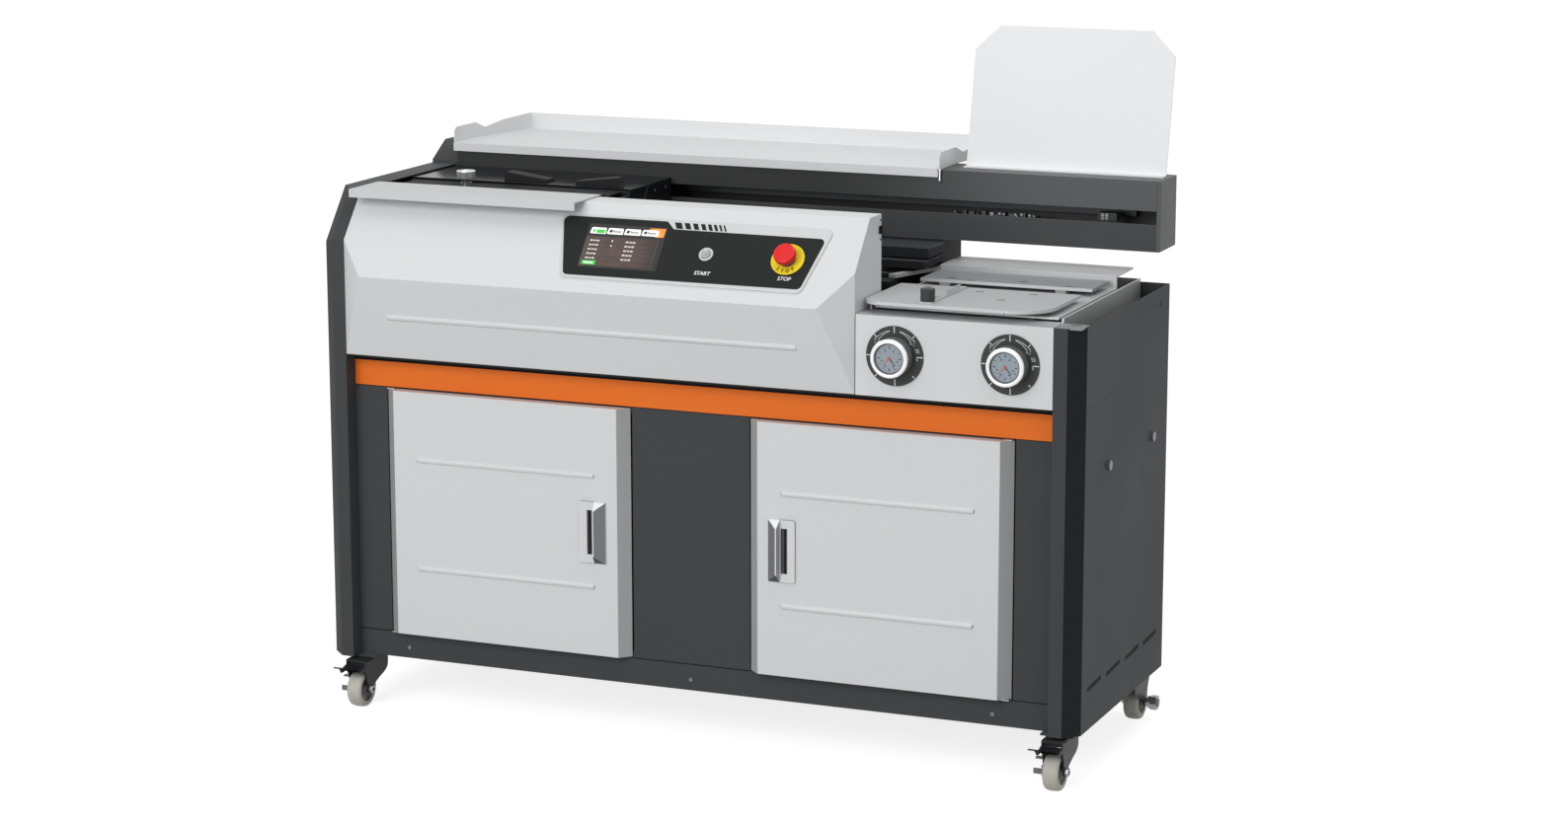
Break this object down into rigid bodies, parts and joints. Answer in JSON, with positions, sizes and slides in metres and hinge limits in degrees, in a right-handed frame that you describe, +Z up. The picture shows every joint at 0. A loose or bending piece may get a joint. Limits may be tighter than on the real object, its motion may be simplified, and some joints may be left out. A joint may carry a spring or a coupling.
{
  "type": "perfect binding machine",
  "caption": "Floor-standing perfect binding machine on casters: a clamp carriage runs along a slotted beam past a milling cutter and a glue roller to a cover table, over a cupboard with doors.",
  "frame": {"origin": "floor point under the middle of the bounding box", "axes": "+Z up, -Y towards the operator at the front, +X to the right as the operator sees it"},
  "size_m": [1.51, 0.8418, 1.2961],
  "materials": {
    "white_panels": "satin",
    "dark_panels": "satin",
    "orange_band": "satin",
    "grey_sheet": "matt",
    "black_casing": "gloss",
    "steel": "brushed",
    "chrome": "polished",
    "black_plastic": "matt",
    "screen": "gloss",
    "red_plastic": "gloss",
    "clear_sheet": "satin",
    "zinc": "satin",
    "tyre_grey": "matt",
    "motor_grey": "matt",
    "tank": "cast"
  },
  "bodies": {
    "machine": {"left_side_panel": "dark_panels", "right_side_panel": "dark_panels", "left_upper_panel": "dark_panels", "right_upper_panel": "dark_panels", "base_frame": "dark_panels", "door_frame": "dark_panels", "trim_band": "orange_band", "deck_plate": "dark_panels", "rear_panel": "dark_panels", "rear_housing": "dark_panels", "front_cover": "white_panels", "control_panel": "black_plastic", "touch_screen": "screen", "table_fascia": "white_panels", "table_frame": "steel", "guide_beam": "dark_panels", "linear_rail": "steel", "drive_chain": "steel", "document_tray": "grey_sheet", "cover_platform": "clear_sheet", "milling_motor": "motor_grey", "glue_tank": "tank", "control_box": "dark_panels", "power_inlet": "black_plastic", "door_hinge_pins": "steel", "panel_fasteners": "chrome"},
    "left_door": {"left_door": "white_panels", "left_door_handle": "chrome"},
    "right_door": {"right_door": "white_panels", "right_door_handle": "chrome"},
    "carriage": {"carriage_frame": "black_casing", "carriage_casing": "black_casing", "book_shelf": "grey_sheet", "carriage_motor": "motor_grey"},
    "start_button": {"start_button": "chrome"},
    "emergency_stop": {"emergency_stop": "red_plastic"},
    "front_jaw": {"front_jaw": "black_casing"},
    "clamp_knob": {"clamp_knob": "chrome"},
    "drive_sprocket": {"drive_sprocket": "steel"},
    "milling_cutter": {"milling_cutter": "steel"},
    "glue_roller": {"glue_roller": "steel"},
    "left_adjusting_knob": {"left_adjusting_knob": "chrome"},
    "right_adjusting_knob": {"right_adjusting_knob": "chrome"},
    "left_stop_block": {"left_stop_block": "steel"},
    "right_stop_block": {"right_stop_block": "steel"},
    "lift_table": {"lift_table": "steel"},
    "front_nip_plate": {"front_nip_plate": "grey_sheet"},
    "rear_nip_plate": {"rear_nip_plate": "grey_sheet"},
    "side_guide": {"side_guide": "grey_sheet"},
    "guide_knob": {"guide_knob": "black_plastic"},
    "front_left_caster_fork": {"front_left_caster_fork": "zinc"},
    "front_left_wheel": {"front_left_wheel": "tyre_grey"},
    "front_left_brake_pedal": {"front_left_brake_pedal": "zinc"},
    "front_right_caster_fork": {"front_right_caster_fork": "zinc"},
    "front_right_wheel": {"front_right_wheel": "tyre_grey"},
    "front_right_brake_pedal": {"front_right_brake_pedal": "zinc"},
    "rear_left_caster_fork": {"rear_left_caster_fork": "zinc"},
    "rear_left_wheel": {"rear_left_wheel": "tyre_grey"},
    "rear_right_caster_fork": {"rear_right_caster_fork": "zinc"},
    "rear_right_wheel": {"rear_right_wheel": "tyre_grey"}
  },
  "joints": [
    {"name": "left_door_hinge", "type": "hinge", "parent": "machine", "child": "left_door", "pos_m": [-0.617, -0.3451, 0.388], "axis": [0, 0, -1], "range_deg": [0, 110]},
    {"name": "right_door_hinge", "type": "hinge", "parent": "machine", "child": "right_door", "pos_m": [0.608, -0.3451, 0.388], "axis": [0, 0, 1], "range_deg": [0, 110]},
    {"name": "start_button_press", "type": "slide", "parent": "machine", "child": "start_button", "axis": [0, 0.7757, -0.6311], "range_m": [0, 0.003], "stiffness_N_per_m": 600},
    {"name": "emergency_stop_press", "type": "slide", "parent": "machine", "child": "emergency_stop", "axis": [0, 0.7757, -0.6311], "range_m": [0, 0.005]},
    {"name": "carriage_slide", "type": "slide", "parent": "machine", "child": "carriage", "axis": [1, 0, 0], "range_m": [0, 0.93]},
    {"name": "drive_sprocket_spin", "type": "hinge", "parent": "carriage", "child": "drive_sprocket", "pos_m": [-0.4635, 0.0969, 0.9624], "axis": [0, 1, 0], "range_deg": [-30, 4330]},
    {"name": "front_jaw_slide", "type": "slide", "parent": "carriage", "child": "front_jaw", "axis": [0, -1, 0], "range_m": [-0.0115, 0.04]},
    {"name": "clamp_knob_turn", "type": "hinge", "parent": "front_jaw", "child": "clamp_knob", "pos_m": [-0.56, -0.1381, 1], "axis": [0, 0, 1], "range_deg": [0, 720]},
    {"name": "milling_cutter_spin", "type": "hinge", "parent": "machine", "child": "milling_cutter", "pos_m": [-0.138, -0.1121, 0.86], "axis": [0, 0, 1], "continuous": true},
    {"name": "glue_roller_spin", "type": "hinge", "parent": "machine", "child": "glue_roller", "pos_m": [0.07, -0.1121, 0.84], "axis": [0, 1, 0], "continuous": true},
    {"name": "left_adjusting_knob_turn", "type": "hinge", "parent": "machine", "child": "left_adjusting_knob", "pos_m": [0.405, -0.3741, 0.765], "axis": [0, 1, 0], "range_deg": [0, 3600]},
    {"name": "left_stop_block_slide", "type": "slide", "parent": "machine", "child": "left_stop_block", "axis": [0, 1, 0], "range_m": [0, 0.0501]},
    {"name": "right_adjusting_knob_turn", "type": "hinge", "parent": "machine", "child": "right_adjusting_knob", "pos_m": [0.6195, -0.3741, 0.765], "axis": [0, 1, 0], "range_deg": [0, 3600]},
    {"name": "right_stop_block_slide", "type": "slide", "parent": "machine", "child": "right_stop_block", "axis": [0, 1, 0], "range_m": [0, 0.0501]},
    {"name": "lift_table_rise", "type": "slide", "parent": "machine", "child": "lift_table", "axis": [0, 0, 1], "range_m": [0, 0.02]},
    {"name": "front_nip_close", "type": "slide", "parent": "lift_table", "child": "front_nip_plate", "axis": [0, 1, 0], "range_m": [0, 0.03]},
    {"name": "rear_nip_close", "type": "slide", "parent": "lift_table", "child": "rear_nip_plate", "axis": [0, -1, 0], "range_m": [0, 0.03]},
    {"name": "side_guide_slide", "type": "slide", "parent": "front_nip_plate", "child": "side_guide", "axis": [0, -1, 0], "range_m": [0, 0.03]},
    {"name": "guide_knob_turn", "type": "hinge", "parent": "front_nip_plate", "child": "guide_knob", "pos_m": [0.448, -0.3261, 0.86], "axis": [0, 0, 1], "range_deg": [0, 720]},
    {"name": "front_left_caster_swivel", "type": "hinge", "parent": "machine", "child": "front_left_caster_fork", "pos_m": [-0.69, -0.3241, 0.094], "axis": [0, 0, 1], "continuous": true},
    {"name": "front_left_wheel_roll", "type": "hinge", "parent": "front_left_caster_fork", "child": "front_left_wheel", "pos_m": [-0.69, -0.3591, 0.035], "axis": [1, 0, 0], "continuous": true},
    {"name": "front_left_brake_pedal_tilt", "type": "hinge", "parent": "front_left_caster_fork", "child": "front_left_brake_pedal", "pos_m": [-0.69, -0.3771, 0.08], "axis": [1, 0, 0], "range_deg": [0, 12]},
    {"name": "front_right_caster_swivel", "type": "hinge", "parent": "machine", "child": "front_right_caster_fork", "pos_m": [0.708, -0.3241, 0.094], "axis": [0, 0, 1], "continuous": true},
    {"name": "front_right_wheel_roll", "type": "hinge", "parent": "front_right_caster_fork", "child": "front_right_wheel", "pos_m": [0.708, -0.3591, 0.035], "axis": [1, 0, 0], "continuous": true},
    {"name": "front_right_brake_pedal_tilt", "type": "hinge", "parent": "front_right_caster_fork", "child": "front_right_brake_pedal", "pos_m": [0.708, -0.3771, 0.08], "axis": [1, 0, 0], "range_deg": [0, 12]},
    {"name": "rear_left_caster_swivel", "type": "hinge", "parent": "machine", "child": "rear_left_caster_fork", "pos_m": [-0.69, 0.0909, 0.094], "axis": [0, 0, 1], "continuous": true},
    {"name": "rear_left_wheel_roll", "type": "hinge", "parent": "rear_left_caster_fork", "child": "rear_left_wheel", "pos_m": [-0.69, 0.1259, 0.035], "axis": [1, 0, 0], "continuous": true},
    {"name": "rear_right_caster_swivel", "type": "hinge", "parent": "machine", "child": "rear_right_caster_fork", "pos_m": [0.708, 0.0909, 0.094], "axis": [0, 0, 1], "continuous": true},
    {"name": "rear_right_wheel_roll", "type": "hinge", "parent": "rear_right_caster_fork", "child": "rear_right_wheel", "pos_m": [0.708, 0.1259, 0.035], "axis": [1, 0, 0], "continuous": true}
  ],
  "couplings": [
    {"joint": "drive_sprocket_spin", "follows": "carriage_slide", "rad_per_m": 80.645},
    {"joint": "left_stop_block_slide", "follows": "left_adjusting_knob_turn", "m_per_rad": 0.00079577},
    {"joint": "right_stop_block_slide", "follows": "right_adjusting_knob_turn", "m_per_rad": 0.00079577},
    {"joint": "rear_nip_close", "follows": "front_nip_close", "ratio": 1}
  ]
}
